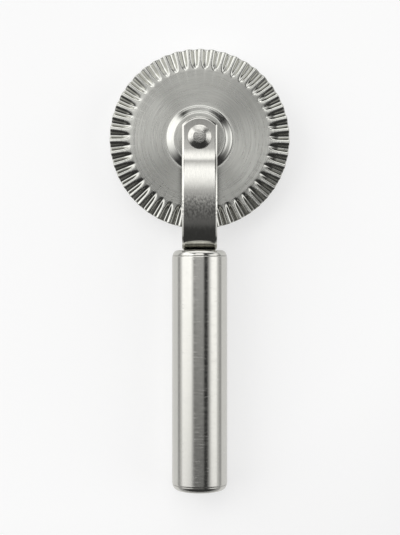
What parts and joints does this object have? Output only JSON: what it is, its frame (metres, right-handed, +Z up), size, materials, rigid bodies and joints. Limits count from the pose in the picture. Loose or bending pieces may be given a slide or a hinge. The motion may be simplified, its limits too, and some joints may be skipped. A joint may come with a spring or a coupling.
{
  "type": "pastry wheel",
  "caption": "Fluted pastry wheel that turns on a riveted axle in a bent strip fork, on a round tube handle with capped ends; it cuts dough with a wavy edge.",
  "frame": {"origin": "centre of the tool's length and width on the table it lies on", "axes": "+Y from the handle's end towards the wheel, +Z up from the table along the wheel's axle, +X to the right seen from above"},
  "size_m": [0.065, 0.1588, 0.02],
  "materials": {
    "wheel_steel": "stainless sheet with fine turned rings",
    "fork_steel": "polished stainless strip with fine lengthwise grain",
    "handle_steel": "satin stainless tube with fine rings round it",
    "rivet_steel": "turned stainless steel",
    "bush_steel": "plain machined stainless steel"
  },
  "bodies": {
    "handle": {"handle_tube": "handle_steel", "top_cap": "handle_steel", "end_cap": "handle_steel", "fork": "fork_steel", "fork_screw": "rivet_steel", "lock_washer": "bush_steel", "axle_rivet": "rivet_steel", "front_washer": "bush_steel", "rear_washer": "bush_steel"},
    "wheel": {"wheel_disc": "wheel_steel", "rear_hub_collar": "wheel_steel", "hub_bush": "bush_steel"}
  },
  "joints": [
    {"name": "wheel_spin", "type": "hinge", "parent": "handle", "child": "wheel", "pos_m": [0, 0.04695, 0.01], "axis": [0, 0, 1], "continuous": true}
  ]
}
